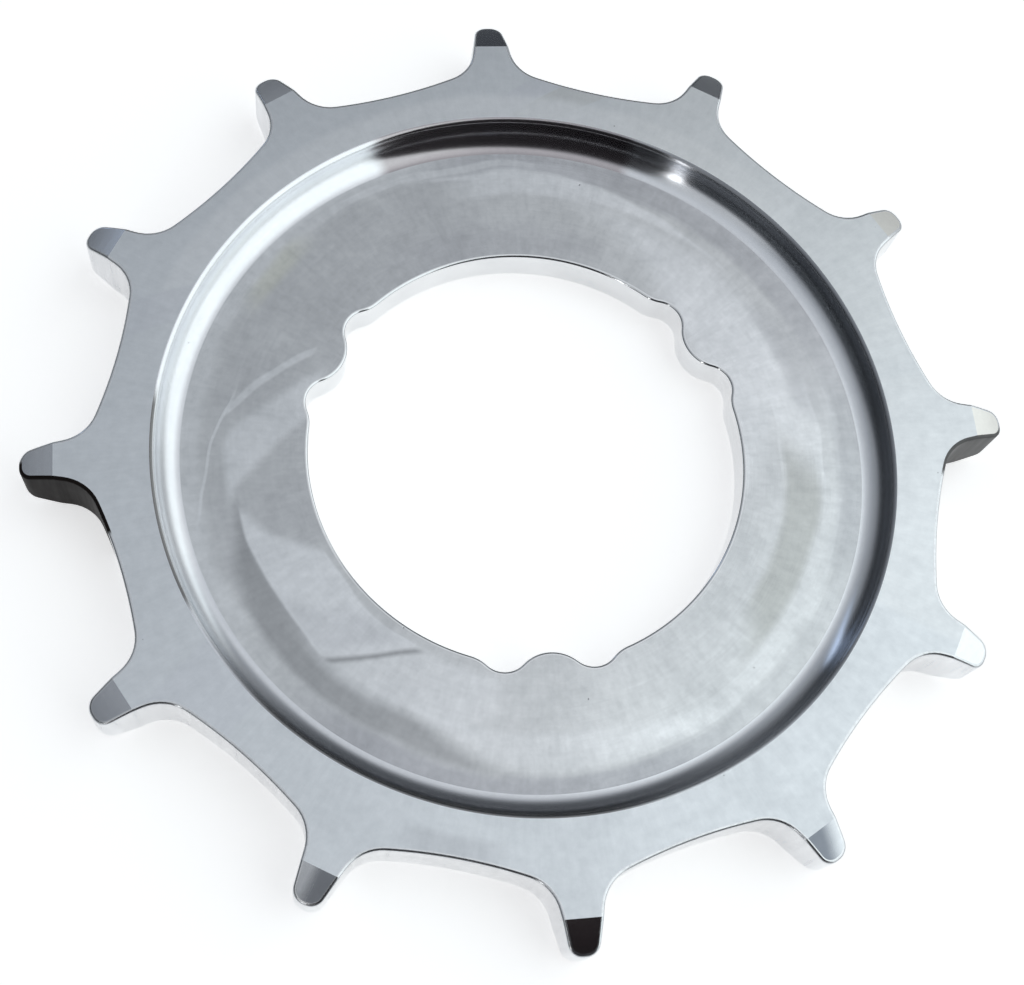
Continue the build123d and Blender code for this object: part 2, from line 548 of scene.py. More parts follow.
class Graph:
    """A node tree with short ways to add nodes and join them."""

    def __init__(self, tree: bpy.types.NodeTree) -> None:
        """Take a node tree."""
        self.tree = tree

    def node(self, kind: str, **settings: object) -> bpy.types.Node:
        """Add a node.

        Args:
            kind: The kind of node.
            **settings: Its settings by name.

        Returns:
            The node.
        """
        made = self.tree.nodes.new(kind)
        for name, value in settings.items():
            setattr(made, name, value)
        return made

    def join(self, value: Value, socket: Socket) -> None:
        """Put a value or another node's output into a socket.

        Args:
            value: The value or the output.
            socket: The socket that takes it.
        """
        if isinstance(value, Socket):
            self.tree.links.new(value, socket)
        else:
            socket.default_value = value

    def math(self, operation: str, first: Value, second: Value = 0.0, third: Value = 0.0) -> Socket:
        """Add a Math node.

        Args:
            operation: What it works out.
            first: Its first value.
            second: Its second value, if it takes one.
            third: Its third value, if it takes one.

        Returns:
            Its result.
        """
        made = self.node("ShaderNodeMath", operation=operation)
        for value, socket in zip((first, second, third), made.inputs):
            self.join(value, socket)
        return made.outputs[0]

    def vector(self, operation: str, first: Value, second: Value = (0, 0, 0)) -> Socket:
        """Add a Vector Math node whose result is a vector.

        Args:
            operation: What it works out.
            first: Its first vector.
            second: Its second vector, if it takes one.

        Returns:
            Its result.
        """
        made = self.node("ShaderNodeVectorMath", operation=operation)
        for value, socket in zip((first, second), made.inputs):
            self.join(value, socket)
        return made.outputs["Vector"]

    def split(self, vector: Value) -> bpy.types.NodeOutputs:
        """Split a vector.

        Args:
            vector: The vector.

        Returns:
            Its X, Y and Z.
        """
        made = self.node("ShaderNodeSeparateXYZ")
        self.join(vector, made.inputs[0])
        return made.outputs

    def merge(self, x: Value, y: Value, z: Value) -> Socket:
        """Join three values into a vector.

        Args:
            x: The value along X.
            y: The value along Y.
            z: The value along Z.

        Returns:
            The vector.
        """
        made = self.node("ShaderNodeCombineXYZ")
        for value, socket in zip((x, y, z), made.inputs):
            self.join(value, socket)
        return made.outputs[0]

    def flat_length(self, x: Value, y: Value) -> Socket:
        """Return the length of a vector that lies in the XY plane."""
        squares = self.math("ADD", self.math("MULTIPLY", x, x), self.math("MULTIPLY", y, y))
        return self.math("SQRT", squares)

    def noise(
        self, place: Value, scale: float = 1.0, detail: float = 2.0, roughness: float = 0.5,
    ) -> bpy.types.NodeOutputs:
        """Add a noise.

        Args:
            place: The place that it is read at.
            scale: How often it repeats along a unit of length.
            detail: The number of its finer layers.
            roughness: The weight of the finer layers.

        Returns:
            Its Fac, from 0 to 1, and its Color.
        """
        made = self.node("ShaderNodeTexNoise")
        self.join(place, made.inputs["Vector"])
        for name, value in (("Scale", scale), ("Detail", detail), ("Roughness", roughness)):
            self.join(value, made.inputs[name])
        return made.outputs

    def rise(self, value: Value, start: Value, end: Value) -> Socket:
        """Add a smooth step.

        Args:
            value: The value that it follows.
            start: Where it is 0.
            end: Where it is 1.

        Returns:
            The step.
        """
        made = self.node("ShaderNodeMapRange", interpolation_type="SMOOTHSTEP")
        for name, given in (("Value", value), ("From Min", start), ("From Max", end)):
            self.join(given, made.inputs[name])
        return made.outputs["Result"]

    def mix(self, share: Value, first: Value, second: Value, blend: str = "MIX") -> Socket:
        """Mix two colours.

        Args:
            share: The share of the second one.
            first: The first colour.
            second: The second colour.
            blend: How they are mixed.

        Returns:
            The mixed colour.
        """
        made = self.node("ShaderNodeMix", data_type="RGBA", blend_type=blend)
        for value, name in ((share, "Factor_Float"), (first, "A_Color"), (second, "B_Color")):
            self.join(value, next(socket for socket in made.inputs if socket.identifier == name))
        return next(socket for socket in made.outputs if socket.identifier == "Result_Color")

    def group(self, tree: bpy.types.NodeTree, **given: Value) -> bpy.types.NodeOutputs:
        """Place a node group.

        Args:
            tree: The group's tree.
            **given: Its inputs by name.

        Returns:
            Its outputs.
        """
        made = self.node("ShaderNodeGroup", node_tree=tree)
        for name, value in given.items():
            self.join(value, made.inputs[name])
        return made.outputs


class NodeGroup:
    """A shared shader node group, with named inputs and outputs."""

    def __init__(self, name: str, inputs: tuple[str, ...], outputs: tuple[str, ...]) -> None:
        """Start the group.

        Args:
            name: The group's name.
            inputs: The names of its inputs; those that start with a capital V are vectors.
            outputs: The names of its outputs, by the same rule.
        """
        self.tree = bpy.data.node_groups.new(name, "ShaderNodeTree")
        for names, side in ((inputs, "INPUT"), (outputs, "OUTPUT")):
            for socket in names:
                kind = "NodeSocketVector" if socket.startswith("V") else "NodeSocketFloat"
                self.tree.interface.new_socket(socket, in_out=side, socket_type=kind)
        self.graph = Graph(self.tree)
        self.given = self.graph.node("NodeGroupInput").outputs

    def close(self, **results: Value) -> bpy.types.NodeTree:
        """Finish the group.

        Args:
            **results: What its outputs put out, by name.

        Returns:
            Its tree.
        """
        end = self.graph.node("NodeGroupOutput")
        for name, value in results.items():
            self.graph.join(value, end.inputs[name])
        return self.tree


class Effects:
    """The shader node groups that the studio and the finishes share.

    A fineness is how often a noise repeats along a unit of the place it reads.
    A shift takes the second noise of a group to another part of the field.
    """

    waver_fineness: float = 0.16
    band_share: float = 0.17
    band_shift: float = 7.0
    grain_tone_fineness: float = 0.4
    grain_tone_shift: tuple[float, float, float] = (31.0, 17.0, 5.0)
    mottle_warp_fineness: float = 1.3

    def __init__(self) -> None:
        """Build each group once."""
        self.window = self.soft_window()
        self.place = self.turned_place()
        self.marks = self.turning_marks()
        self.grain = self.fine_grain()
        self.mottle = self.broad_mottle()
        self.pits = self.small_pits()
        self.streaks = self.cross_streaks()

    def soft_window(self) -> bpy.types.NodeTree:
        """Build the group that masks a soft-edged window in an angle and a reach.

        Returns:
            The group.
        """
        names = ("Angle", "Middle", "Half", "Blur", "Reach", "Level", "Height", "Fade", "Slant")
        group = NodeGroup("soft_window", names, ("Mask",))
        graph, given = group.graph, group.given
        above = graph.math("SUBTRACT", given["Reach"], given["Level"])
        aside = graph.math("SUBTRACT", given["Angle"], given["Middle"])
        aside = graph.math("SUBTRACT", aside, graph.math("MULTIPLY", above, given["Slant"]))
        aside = graph.math("WRAP", aside, 180.0, -180.0)
        masks = []
        for value, limit, soft in ((aside, "Half", "Blur"), (above, "Height", "Fade")):
            margin = graph.math("MULTIPLY", given[soft], 0.5)
            outer = graph.math("ADD", given[limit], margin)
            inner = graph.math("SUBTRACT", given[limit], margin)
            masks.append(graph.rise(graph.math("ABSOLUTE", value), outer, inner))
        return group.close(Mask=graph.math("MULTIPLY", masks[0], masks[1]))

    def turned_place(self) -> bpy.types.NodeTree:
        """Build the group that gives a place as a radius and an angle round the axis.

        The radius and the angle waver softly. Lengths are millimetres.

        Returns:
            The group.
        """
        group = NodeGroup("turned_place", ("Waver",), ("Radius", "Angle", "VAround", "VPlace"))
        graph, given = group.graph, group.given
        object_place = graph.node("ShaderNodeTexCoord").outputs["Object"]
        place = graph.vector("DIVIDE", object_place, (MM, MM, MM))
        waver = graph.noise(place, self.waver_fineness, 1.0)["Color"]
        shift = graph.vector("SUBTRACT", waver, (NOISE_MEAN, NOISE_MEAN, NOISE_MEAN))
        amount = graph.merge(given["Waver"], given["Waver"], 0.0)
        at = graph.split(graph.vector("ADD", place, graph.vector("MULTIPLY", shift, amount)))
        radius = graph.flat_length(at["X"], at["Y"])
        angle = graph.math("DEGREES", graph.math("ARCTAN2", at["X"], at["Y"]))
        around = graph.vector("NORMALIZE", graph.vector("MULTIPLY", place, (1, 1, 0)))
        return group.close(Radius=radius, Angle=angle, VAround=around, VPlace=place)

    def turning_marks(self) -> bpy.types.NodeTree:
        """Build the group that puts out the fine rings a turning tool leaves.

        Its tone follows broad bands of rings. A ring changes more often on its
        way round with more breaks.

        Returns:
            The group.
        """
        group = NodeGroup("turning_marks", ("VAround", "VPlace", "Pitch", "Breaks"), ("Height", "Tone"))
        graph, given = group.graph, group.given
        at = graph.split(given["VPlace"])
        reach = graph.math("ADD", graph.flat_length(at["X"], at["Y"]), at["Z"])
        rings = graph.math("DIVIDE", reach, given["Pitch"])
        bands = graph.math("MULTIPLY", rings, self.band_share)
        breaks = graph.merge(given["Breaks"], given["Breaks"], 0.0)
        around = graph.vector("MULTIPLY", given["VAround"], breaks)
        fine = graph.vector("ADD", around, graph.merge(0.0, 0.0, rings))
        broad = graph.vector("ADD", around, graph.merge(0.0, self.band_shift, bands))
        return group.close(
            Height=graph.noise(fine, detail=3.0, roughness=0.6)["Fac"],
            Tone=graph.noise(broad, detail=4.0, roughness=0.6)["Fac"],
        )

    def cross_streaks(self) -> bpy.types.NodeTree:
        """Build the group that puts out short streaks across the turning marks.

        Returns:
            The group.
        """
        group = NodeGroup("cross_streaks", ("VAround", "Radius", "Count", "Length"), ("Tone",))
        graph, given = group.graph, group.given
        count = graph.merge(given["Count"], given["Count"], 0.0)
        across = graph.math("DIVIDE", given["Radius"], given["Length"])
        around = graph.vector("MULTIPLY", given["VAround"], count)
        place = graph.vector("ADD", around, graph.merge(0.0, 0.0, across))
        return group.close(Tone=graph.noise(place, detail=3.0, roughness=0.65)["Fac"])

    def fine_grain(self) -> bpy.types.NodeTree:
        """Build the group that puts out fine grain, drawn out where its fineness is small.

        Returns:
            The group.
        """
        group = NodeGroup("fine_grain", ("VPlace", "VFineness"), ("Height", "Tone"))
        graph, given = group.graph, group.given
        place = graph.vector("MULTIPLY", given["VPlace"], given["VFineness"])
        shifted = graph.vector("ADD", place, self.grain_tone_shift)
        return group.close(
            Height=graph.noise(place, detail=3.0, roughness=0.65)["Fac"],
            Tone=graph.noise(shifted, self.grain_tone_fineness, detail=3.0, roughness=0.6)["Fac"],
        )

    def broad_mottle(self) -> bpy.types.NodeTree:
        """Build the group that puts out soft clouds of tone.

        Returns:
            The group.
        """
        group = NodeGroup("broad_mottle", ("VPlace", "Size", "Contrast"), ("Tone",))
        graph, given = group.graph, group.given
        fineness = graph.math("DIVIDE", 1.0, given["Size"])
        place = graph.vector("MULTIPLY", given["VPlace"], graph.merge(fineness, fineness, fineness))
        warp = graph.noise(place, self.mottle_warp_fineness)["Color"]
        cloud = graph.noise(graph.vector("ADD", place, warp), detail=4.0, roughness=0.55)["Fac"]
        centred = graph.math("MULTIPLY", graph.math("SUBTRACT", cloud, NOISE_MEAN), given["Contrast"])
        return group.close(Tone=graph.math("ADD", centred, NOISE_MEAN))

    def small_pits(self) -> bpy.types.NodeTree:
        """Build the group that masks small scattered pits.

        Returns:
            The group.
        """
        group = NodeGroup("small_pits", ("VPlace", "Spacing", "Size", "Share"), ("Mask",))
        graph, given = group.graph, group.given
        cells = graph.node("ShaderNodeTexVoronoi", feature="F1")
        graph.join(given["VPlace"], cells.inputs["Vector"])
        graph.join(graph.math("DIVIDE", 1.0, given["Spacing"]), cells.inputs["Scale"])
        away = graph.math("MULTIPLY", cells.outputs["Distance"], given["Spacing"])
        chances = graph.split(cells.outputs["Color"])
        present = graph.math("LESS_THAN", chances["X"], given["Share"])
        radius = graph.math("MULTIPLY", chances["Y"], given["Size"])
        return group.close(Mask=graph.math("MULTIPLY", present, graph.rise(away, radius, 0.0)))


@dataclass(frozen=True)
class Card:
    """A soft-edged stretch of colour, placed by an angle and a reach.

    In the studio the reach is degrees from straight up, and on the steel it is
    millimetres from the axis. The sides of the stretch soften over the blur,
    and its ends over the fade. A slant turns it as the reach grows.
    """

    angle: float
    half_span: float
    blur: float
    reach: float
    half_reach: float
    fade: float
    colour: Colour
    strength: float = 1.0
    slant: float = 0.0

    def paint(
        self, graph: Graph, effects: Effects, place: tuple[Value, Value], under: Value,
    ) -> tuple[Socket, Socket]:
        """Paint the stretch over a colour.

        Args:
            graph: The node tree to paint in.
            effects: The shared node groups.
            place: The angle and the reach of the painted point.
            under: The colour under it.

        Returns:
            The mask of the stretch and the new colour.
        """
        mask = graph.group(
            effects.window, Angle=place[0], Middle=self.angle, Half=self.half_span, Blur=self.blur,
            Reach=place[1], Level=self.reach, Height=self.half_reach, Fade=self.fade, Slant=self.slant,
        )["Mask"]
        return mask, graph.mix(graph.math("MULTIPLY", mask, self.strength), under, (*self.colour, 1))


# Studio

@dataclass(frozen=True)
class Studio:
    """The camera, the floor and the surroundings that the steel mirrors.

    The surroundings pass from the ceiling to the middle, the horizon and what
    lies below, each between a pair of zeniths, which are degrees from straight
    up. The cards stand before them in their order, the last one foremost.
    """

    camera_place: tuple[float, float, float] = (-20.118 * MM, -46.244 * MM, 120.698 * MM)
    camera_target: tuple[float, float, float] = (-2.054 * MM, -4.282 * MM, 5.4 * MM)
    camera_roll: float = 19.127
    camera_clip: tuple[float, float] = (0.005, 10.0)
    lens: float = 56.84
    sensor: float = 36.0
    floor_size: float = 1.2
    floor_gap: float = 0.05 * MM
    floor_tone: float = 0.8
    floor_glow: float = 0.62
    far_glow_loss: float = 0.55
    far_reach: tuple[float, float] = (5.0 * MM, 11.0 * MM)
    clear_reach: float = 0.2 * MM
    ceiling: Colour = (0.56, 0.59, 0.625)
    middle: Colour = (0.30, 0.32, 0.345)
    horizon: Colour = (0.06, 0.065, 0.072)
    below: Colour = (0.50, 0.52, 0.55)
    backdrop: Colour = (1.0, 1.0, 1.0)
    middle_zenith: tuple[float, float] = (12.0, 48.0)
    horizon_zenith: tuple[float, float] = (45.0, 92.0)
    below_zenith: tuple[float, float] = (96.0, 140.0)
    cards: tuple[Card, ...] = (
        Card(80, 60, 70, 10, 30, 18, (0.86, 0.885, 0.92)),
        Card(15, 19, 12, 72, 28, 30, (0.055, 0.06, 0.068)),
        Card(252, 38, 18, 84, 27, 24, (0.05, 0.055, 0.062)),
        Card(94, 49, 6, 60, 46, 14, (1.08, 1.16, 1.18)),
        Card(58, 16, 18, 86, 16, 20, (0.50, 0.52, 0.54)),
        Card(331.5, 2.2, 2.4, 68, 20, 10, (0.72, 0.88, 1.15)),
        Card(228, 18, 16, 36, 24, 14, (0.54, 0.56, 0.58)),
        Card(178, 35, 2, 62, 50, 14, (0.026, 0.025, 0.028)),
        Card(215.0, 1.4, 1.2, 72, 20, 8, (4.5, 4.5, 4.5)),
    )

    def camera(self) -> None:
        """Place the camera."""
        data = bpy.data.cameras.new("camera")
        data.lens = self.lens
        data.sensor_width = self.sensor
        data.clip_start, data.clip_end = self.camera_clip
        eye = bpy.data.objects.new("camera", data)
        place = Vector(self.camera_place)
        look = (Vector(self.camera_target) - place).to_track_quat("-Z", "Y").to_matrix().to_4x4()
        roll = Matrix.Rotation(math.radians(self.camera_roll), 4, "Z")
        eye.matrix_world = Matrix.Translation(place) @ look @ roll
        bpy.context.scene.collection.objects.link(eye)
        bpy.context.scene.camera = eye

    def floor_material(self) -> bpy.types.Material:
        """Build the pale floor's material, which keeps the shadow of the sprocket.

        Steel mirrors it darker with distance. From below it is clear, and it
        doesn't show in the back that lies on it.

        Returns:
            The material.
        """
        made = bpy.data.materials.new("floor")
        made.use_nodes = True
        made.node_tree.nodes.clear()
        graph = Graph(made.node_tree)
        matte = graph.node("ShaderNodeBsdfDiffuse")
        matte.inputs["Color"].default_value = (self.floor_tone, self.floor_tone, self.floor_tone, 1)
        rays = graph.node("ShaderNodeLightPath").outputs
        seen = graph.math("MAXIMUM", rays["Is Camera Ray"], rays["Is Glossy Ray"])
        seen = graph.math("MAXIMUM", seen, rays["Is Transmission Ray"])
        far = graph.math("MULTIPLY", graph.rise(rays["Ray Length"], *self.far_reach), rays["Is Glossy Ray"])
        strength = graph.math("MULTIPLY_ADD", far, -self.far_glow_loss, self.floor_glow)
        glow = graph.node("ShaderNodeEmission")
        graph.join(graph.math("MULTIPLY", seen, strength), glow.inputs["Strength"])
        both = graph.node("ShaderNodeAddShader")
        graph.join(matte.outputs[0], both.inputs[0])
        graph.join(glow.outputs[0], both.inputs[1])
        near = graph.math("LESS_THAN", rays["Ray Length"], self.clear_reach)
        under = graph.node("ShaderNodeNewGeometry").outputs["Backfacing"]
        shown = graph.node("ShaderNodeMixShader")
        graph.join(graph.math("MAXIMUM", under, near), shown.inputs[0])
        graph.join(both.outputs[0], shown.inputs[1])
        graph.join(graph.node("ShaderNodeBsdfTransparent").outputs[0], shown.inputs[2])
        end = graph.node("ShaderNodeOutputMaterial")
        graph.join(shown.outputs[0], end.inputs["Surface"])
        return made

    def floor(self) -> None:
        """Lay the floor just under the sprocket."""
        mesh = bmesh.new()
        bmesh.ops.create_grid(mesh, x_segments=1, y_segments=1, size=self.floor_size / 2)
        bmesh.ops.translate(mesh, vec=(0, 0, -self.floor_gap), verts=mesh.verts)
        floor = as_object(mesh, "floor")
        floor.data.materials.append(self.floor_material())

    def surroundings(self, effects: Effects) -> None:
        """Build the world: a soft studio for the steel, and a white one for the camera.

        Args:
            effects: The shared node groups.
        """
        world = bpy.data.worlds.new("studio")
        bpy.context.scene.world = world
        world.use_nodes = True
        world.node_tree.nodes.clear()
        graph = Graph(world.node_tree)
        way = graph.split(graph.node("ShaderNodeTexCoord").outputs["Generated"])
        azimuth = graph.math("DEGREES", graph.math("ARCTAN2", way["X"], way["Y"]))
        zenith = graph.math("DEGREES", graph.math("ARCCOSINE", way["Z"]))
        colour = graph.mix(graph.rise(zenith, *self.middle_zenith), (*self.ceiling, 1), (*self.middle, 1))
        colour = graph.mix(graph.rise(zenith, *self.horizon_zenith), colour, (*self.horizon, 1))
        for card in self.cards:
            _, colour = card.paint(graph, effects, (azimuth, zenith), colour)
        colour = graph.mix(graph.rise(zenith, *self.below_zenith), colour, (*self.below, 1))
        rays = graph.node("ShaderNodeLightPath").outputs
        colour = graph.mix(rays["Is Camera Ray"], colour, (*self.backdrop, 1))
        light = graph.node("ShaderNodeBackground")
        graph.join(colour, light.inputs["Color"])
        end = graph.node("ShaderNodeOutputWorld")
        graph.join(light.outputs[0], end.inputs["Surface"])

    def build(self, effects: Effects) -> None:
        """Build the whole studio.

        Args:
            effects: The shared node groups.
        """
        self.camera()
        self.floor()
        self.surroundings(effects)
        bpy.context.scene.view_settings.view_transform = "Standard"


# Finishes

@dataclass(frozen=True)
class Patch(Card):
    """A stretch of painted light or painted shade on the steel, which stands for a
    reflection fixed to it: lighter or darker, rougher or less metallic.

    Its roughness is added to the steel's own, and its scale is how far it
    takes away the metal's shine, for a painted dark shade.
    """

    roughness: float = 0.0
    scale: float = 0.0


@dataclass(frozen=True)
class SteelFinish:
    """A bare steel surface as its last machining step left it.

    Patches paint highlights and shade onto the bright steel, for reflections
    fixed to it. Where the tool's rings, the streaks, the grain and the broad
    mottle make it dull, only the dull share of that colour is left. Heights
    and depths are microns, and other lengths are millimetres.
    A drawn gloss stretches across the rings that the turning tool leaves.
    """

    name: str
    bright: Colour
    dull: Colour
    smooth: float
    rough: float
    specular: float = 0.1
    mark_pitch: float = 0.16
    mark_breaks: float = 3.0
    mark_height: float = 1.0
    mark_tone: float = 0.3
    fineness: tuple[float, float, float] = (6.0, 6.0, 6.0)
    grain_height: float = 1.0
    grain_tone: float = 0.3
    streak_count: float = 45.0
    streak_length: float = 3.0
    streak_tone: float = 0.0
    mottle_size: float = 7.0
    mottle_tone: float = 0.9
    pit_spacing: float = 2.2
    pit_size: float = 0.16
    pit_share: float = 0.25
    pit_depth: float = 12.0
    pit_colour: Colour = (0.16, 0.15, 0.15)
    pit_tone: float = 0.7
    pit_roughness: float = 0.3
    waver: float = 0.0
    drawn: float = 0.0
    drawn_turn: float = 0.25
    patches: tuple[Patch, ...] = ()

    def draw_gloss(self, graph: Graph, shader: bpy.types.Node) -> None:
        """Draw the gloss out across the rings.

        Args:
            graph: The material's node tree.
            shader: The steel's shader.
        """
        shader.inputs["Anisotropic"].default_value = self.drawn
        shader.inputs["Anisotropic Rotation"].default_value = self.drawn_turn
        rings = graph.node("ShaderNodeTangent", direction_type="RADIAL", axis="Z")
        graph.join(rings.outputs[0], shader.inputs["Tangent"])

    def dullness(self, graph: Graph, mottle: Value, tones: tuple[tuple[Value, float], ...]) -> Socket:
        """Work out how dull the steel is.

        Args:
            graph: The material's node tree.
            mottle: The tone of the broad mottle.
            tones: The tone of each finer effect, and how much it counts.

        Returns:
            The dullness, which is 0 for bright steel and 1 for dull steel.
        """
        dull = mottle
        for tone, amount in tones:
            if amount:
                shift = graph.math("SUBTRACT", tone, NOISE_MEAN)
                dull = graph.math("MULTIPLY_ADD", shift, amount * 2, dull)
        return graph.math("MINIMUM", graph.math("MAXIMUM", dull, 0.0), 1.0)

    def relief(self, graph: Graph, heights: tuple[tuple[Value, float], ...]) -> Socket:
        """Turn the heights of the effects into a normal.

        Args:
            graph: The material's node tree.
            heights: The height of each effect as a share, and its full height in microns.

        Returns:
            The normal.
        """
        height = 0.0
        for share, full in heights:
            height = graph.math("MULTIPLY_ADD", share, full, height)
        bump = graph.node("ShaderNodeBump")
        bump.inputs["Strength"].default_value = 1
        bump.inputs["Distance"].default_value = MICRON
        graph.join(height, bump.inputs["Height"])
        return bump.outputs["Normal"]

    def material(self, effects: Effects) -> bpy.types.Material:
        """Build the finish as a material.

        Args:
            effects: The shared node groups.

        Returns:
            The material.
        """
        made = bpy.data.materials.new(self.name)
        made.use_nodes = True
        graph = Graph(made.node_tree)
        shader = made.node_tree.nodes["Principled BSDF"]
        shader.inputs["Specular IOR Level"].default_value = self.specular
        if self.drawn:
            self.draw_gloss(graph, shader)

        place = graph.group(effects.place, Waver=self.waver)
        at, around = place["VPlace"], place["VAround"]
        marks = graph.group(
            effects.marks, VAround=around, VPlace=at, Pitch=self.mark_pitch, Breaks=self.mark_breaks,
        )
        grain = graph.group(effects.grain, VPlace=at, VFineness=self.fineness)
        mottle = graph.group(effects.mottle, VPlace=at, Size=self.mottle_size, Contrast=self.mottle_tone)
        pits = graph.group(
            effects.pits, VPlace=at, Spacing=self.pit_spacing, Size=self.pit_size, Share=self.pit_share,
        )["Mask"]
        streaks = graph.group(
            effects.streaks, VAround=around, Radius=place["Radius"], Count=self.streak_count,
            Length=self.streak_length,
        )

        tones = (
            (marks["Tone"], self.mark_tone),
            (grain["Tone"], self.grain_tone),
            (streaks["Tone"], self.streak_tone),
        )
        dullness = self.dullness(graph, mottle["Tone"], tones)
        colour = (*self.bright, 1)
        roughness = graph.math("MULTIPLY_ADD", dullness, self.rough - self.smooth, self.smooth)
        metal = 1.0
        # Each patch paints its highlight or shade over the colour and adds to the roughness, and its scale
        # takes away metal shine.
        for patch in self.patches:
            mask, colour = patch.paint(graph, effects, (place["Angle"], place["Radius"]), colour)
            roughness = graph.math("MULTIPLY_ADD", mask, patch.roughness, roughness)
            if patch.scale:
                metal = graph.math("MULTIPLY_ADD", mask, -patch.scale, metal)
        colour = graph.mix(dullness, colour, (*self.dull, 1), "MULTIPLY")
        colour = graph.mix(graph.math("MULTIPLY", pits, self.pit_tone), colour, (*self.pit_colour, 1))
        roughness = graph.math("MULTIPLY_ADD", pits, self.pit_roughness, roughness)
        graph.join(colour, shader.inputs["Base Color"])
        graph.join(roughness, shader.inputs["Roughness"])
        graph.join(metal, shader.inputs["Metallic"])

        heights = (
            (marks["Height"], self.mark_height),
            (grain["Height"], self.grain_height),
            (pits, -self.pit_depth),
        )
        graph.join(self.relief(graph, heights), shader.inputs["Normal"])
        return made


def painted_tip_reflection(angle: float, colour: Colour, strength: float = 0.9, roughness: float = 0.0) -> Patch:
    """Return the painted reflection that covers the bevels of the tooth at an angle."""
    return Patch(
        angle, half_span=8, blur=4, reach=38, half_reach=3, fade=1, colour=colour, strength=strength,
        roughness=roughness,
    )


# The colours of the patches. They paint highlights and shade that stand for reflections on the steel.
LIGHT = (0.95, 0.97, 0.99)
GREY = (0.50, 0.51, 0.54)
PALE = (0.80, 0.82, 0.87)
WARM = (0.74, 0.75, 0.74)
PAINTED_BLACK_SHADE = (0.012, 0.008, 0.007)
PAINTED_DARK_SHADE = (0.10, 0.095, 0.09)
PAINTED_WARM_REFLECTION = (0.97, 0.94, 0.88)
PAINTED_BLUISH_SHADE = (0.28, 0.30, 0.34)
PAINTED_BROWN_SHADE = (0.26, 0.20, 0.20)
OLIVE = (0.52, 0.53, 0.515)
PAINTED_GREY_SHADE = (0.36, 0.37, 0.38)
STRAW = (0.92, 0.93, 0.76)
CREAM = (0.91, 0.92, 0.91)
CHALK = (0.90, 0.92, 0.935)
PAINTED_DEEP_SHADE = (0.20, 0.21, 0.23)
PAINTED_WHITE_HIGHLIGHT = (0.97, 0.98, 1.0)

# Each patch paints a highlight or a shade that stands for a reflection on the steel.
# It gives its angle, half span and blur in degrees, its distance from the axis,
# half width and fade in millimetres, and its colour. Its strength, its slant in degrees
# a millimetre, its roughness and its scale follow where they aren't plain. A later patch
# lies over an earlier one.
# Painted highlights and painted shade on the ground rim, for the light and dark lobes that it mirrors.
RIM_PAINTED_REFLECTIONS = (
    Patch(2.6, 2.6, 0.6, 30.9, 2.6, 0.4, PALE, 0.6, 2.5),
    Patch(9.5, 3.6, 0.6, 31.0, 2.4, 0.4, WARM, 0.6, 2.4),
    Patch(350, 55, 20, 30.2, 1.2, 1.0, LIGHT, 0.8),
    Patch(196, 6, 5, 32.0, 0.9, 0.8, GREY, 0.35),
    Patch(50, 32, 22, 34, 8, 2, CREAM, 0.4),
    Patch(101, 19, 1.5, 34, 8, 2, CHALK, 0.6),
    Patch(97, 6, 6, 34, 8, 2, LIGHT, 0.3),
    Patch(234, 5.5, 1.2, 31, 6, 1, PALE, 0.4, -0.4),
    Patch(293, 3.4, 1.0, 31, 6, 1, PALE, 0.45, -1.6),
)

# Painted reflections in the recess: a white painted highlight on the left of the fillet, and painted dark
# shade along its top and near edges.
RECESS_PAINTED_REFLECTIONS = (
    Patch(305, 52, 10, 28.4, 1.3, 0.3, PAINTED_WHITE_HIGHLIGHT, 0.9),
    Patch(1, 22, 3, 28.4, 1.3, 0.3, PAINTED_BROWN_SHADE, 0.6, 0, -0.05),
    Patch(84, 64, 40, 29.0, 0.55, 0.4, PAINTED_DEEP_SHADE, 0.85),
    Patch(200, 32, 16, 29.0, 0.5, 0.4, PAINTED_DARK_SHADE, 0.75),
    Patch(263, 17, 4, 29.14, 0.12, 0.08, PAINTED_DARK_SHADE, 0.85),
)

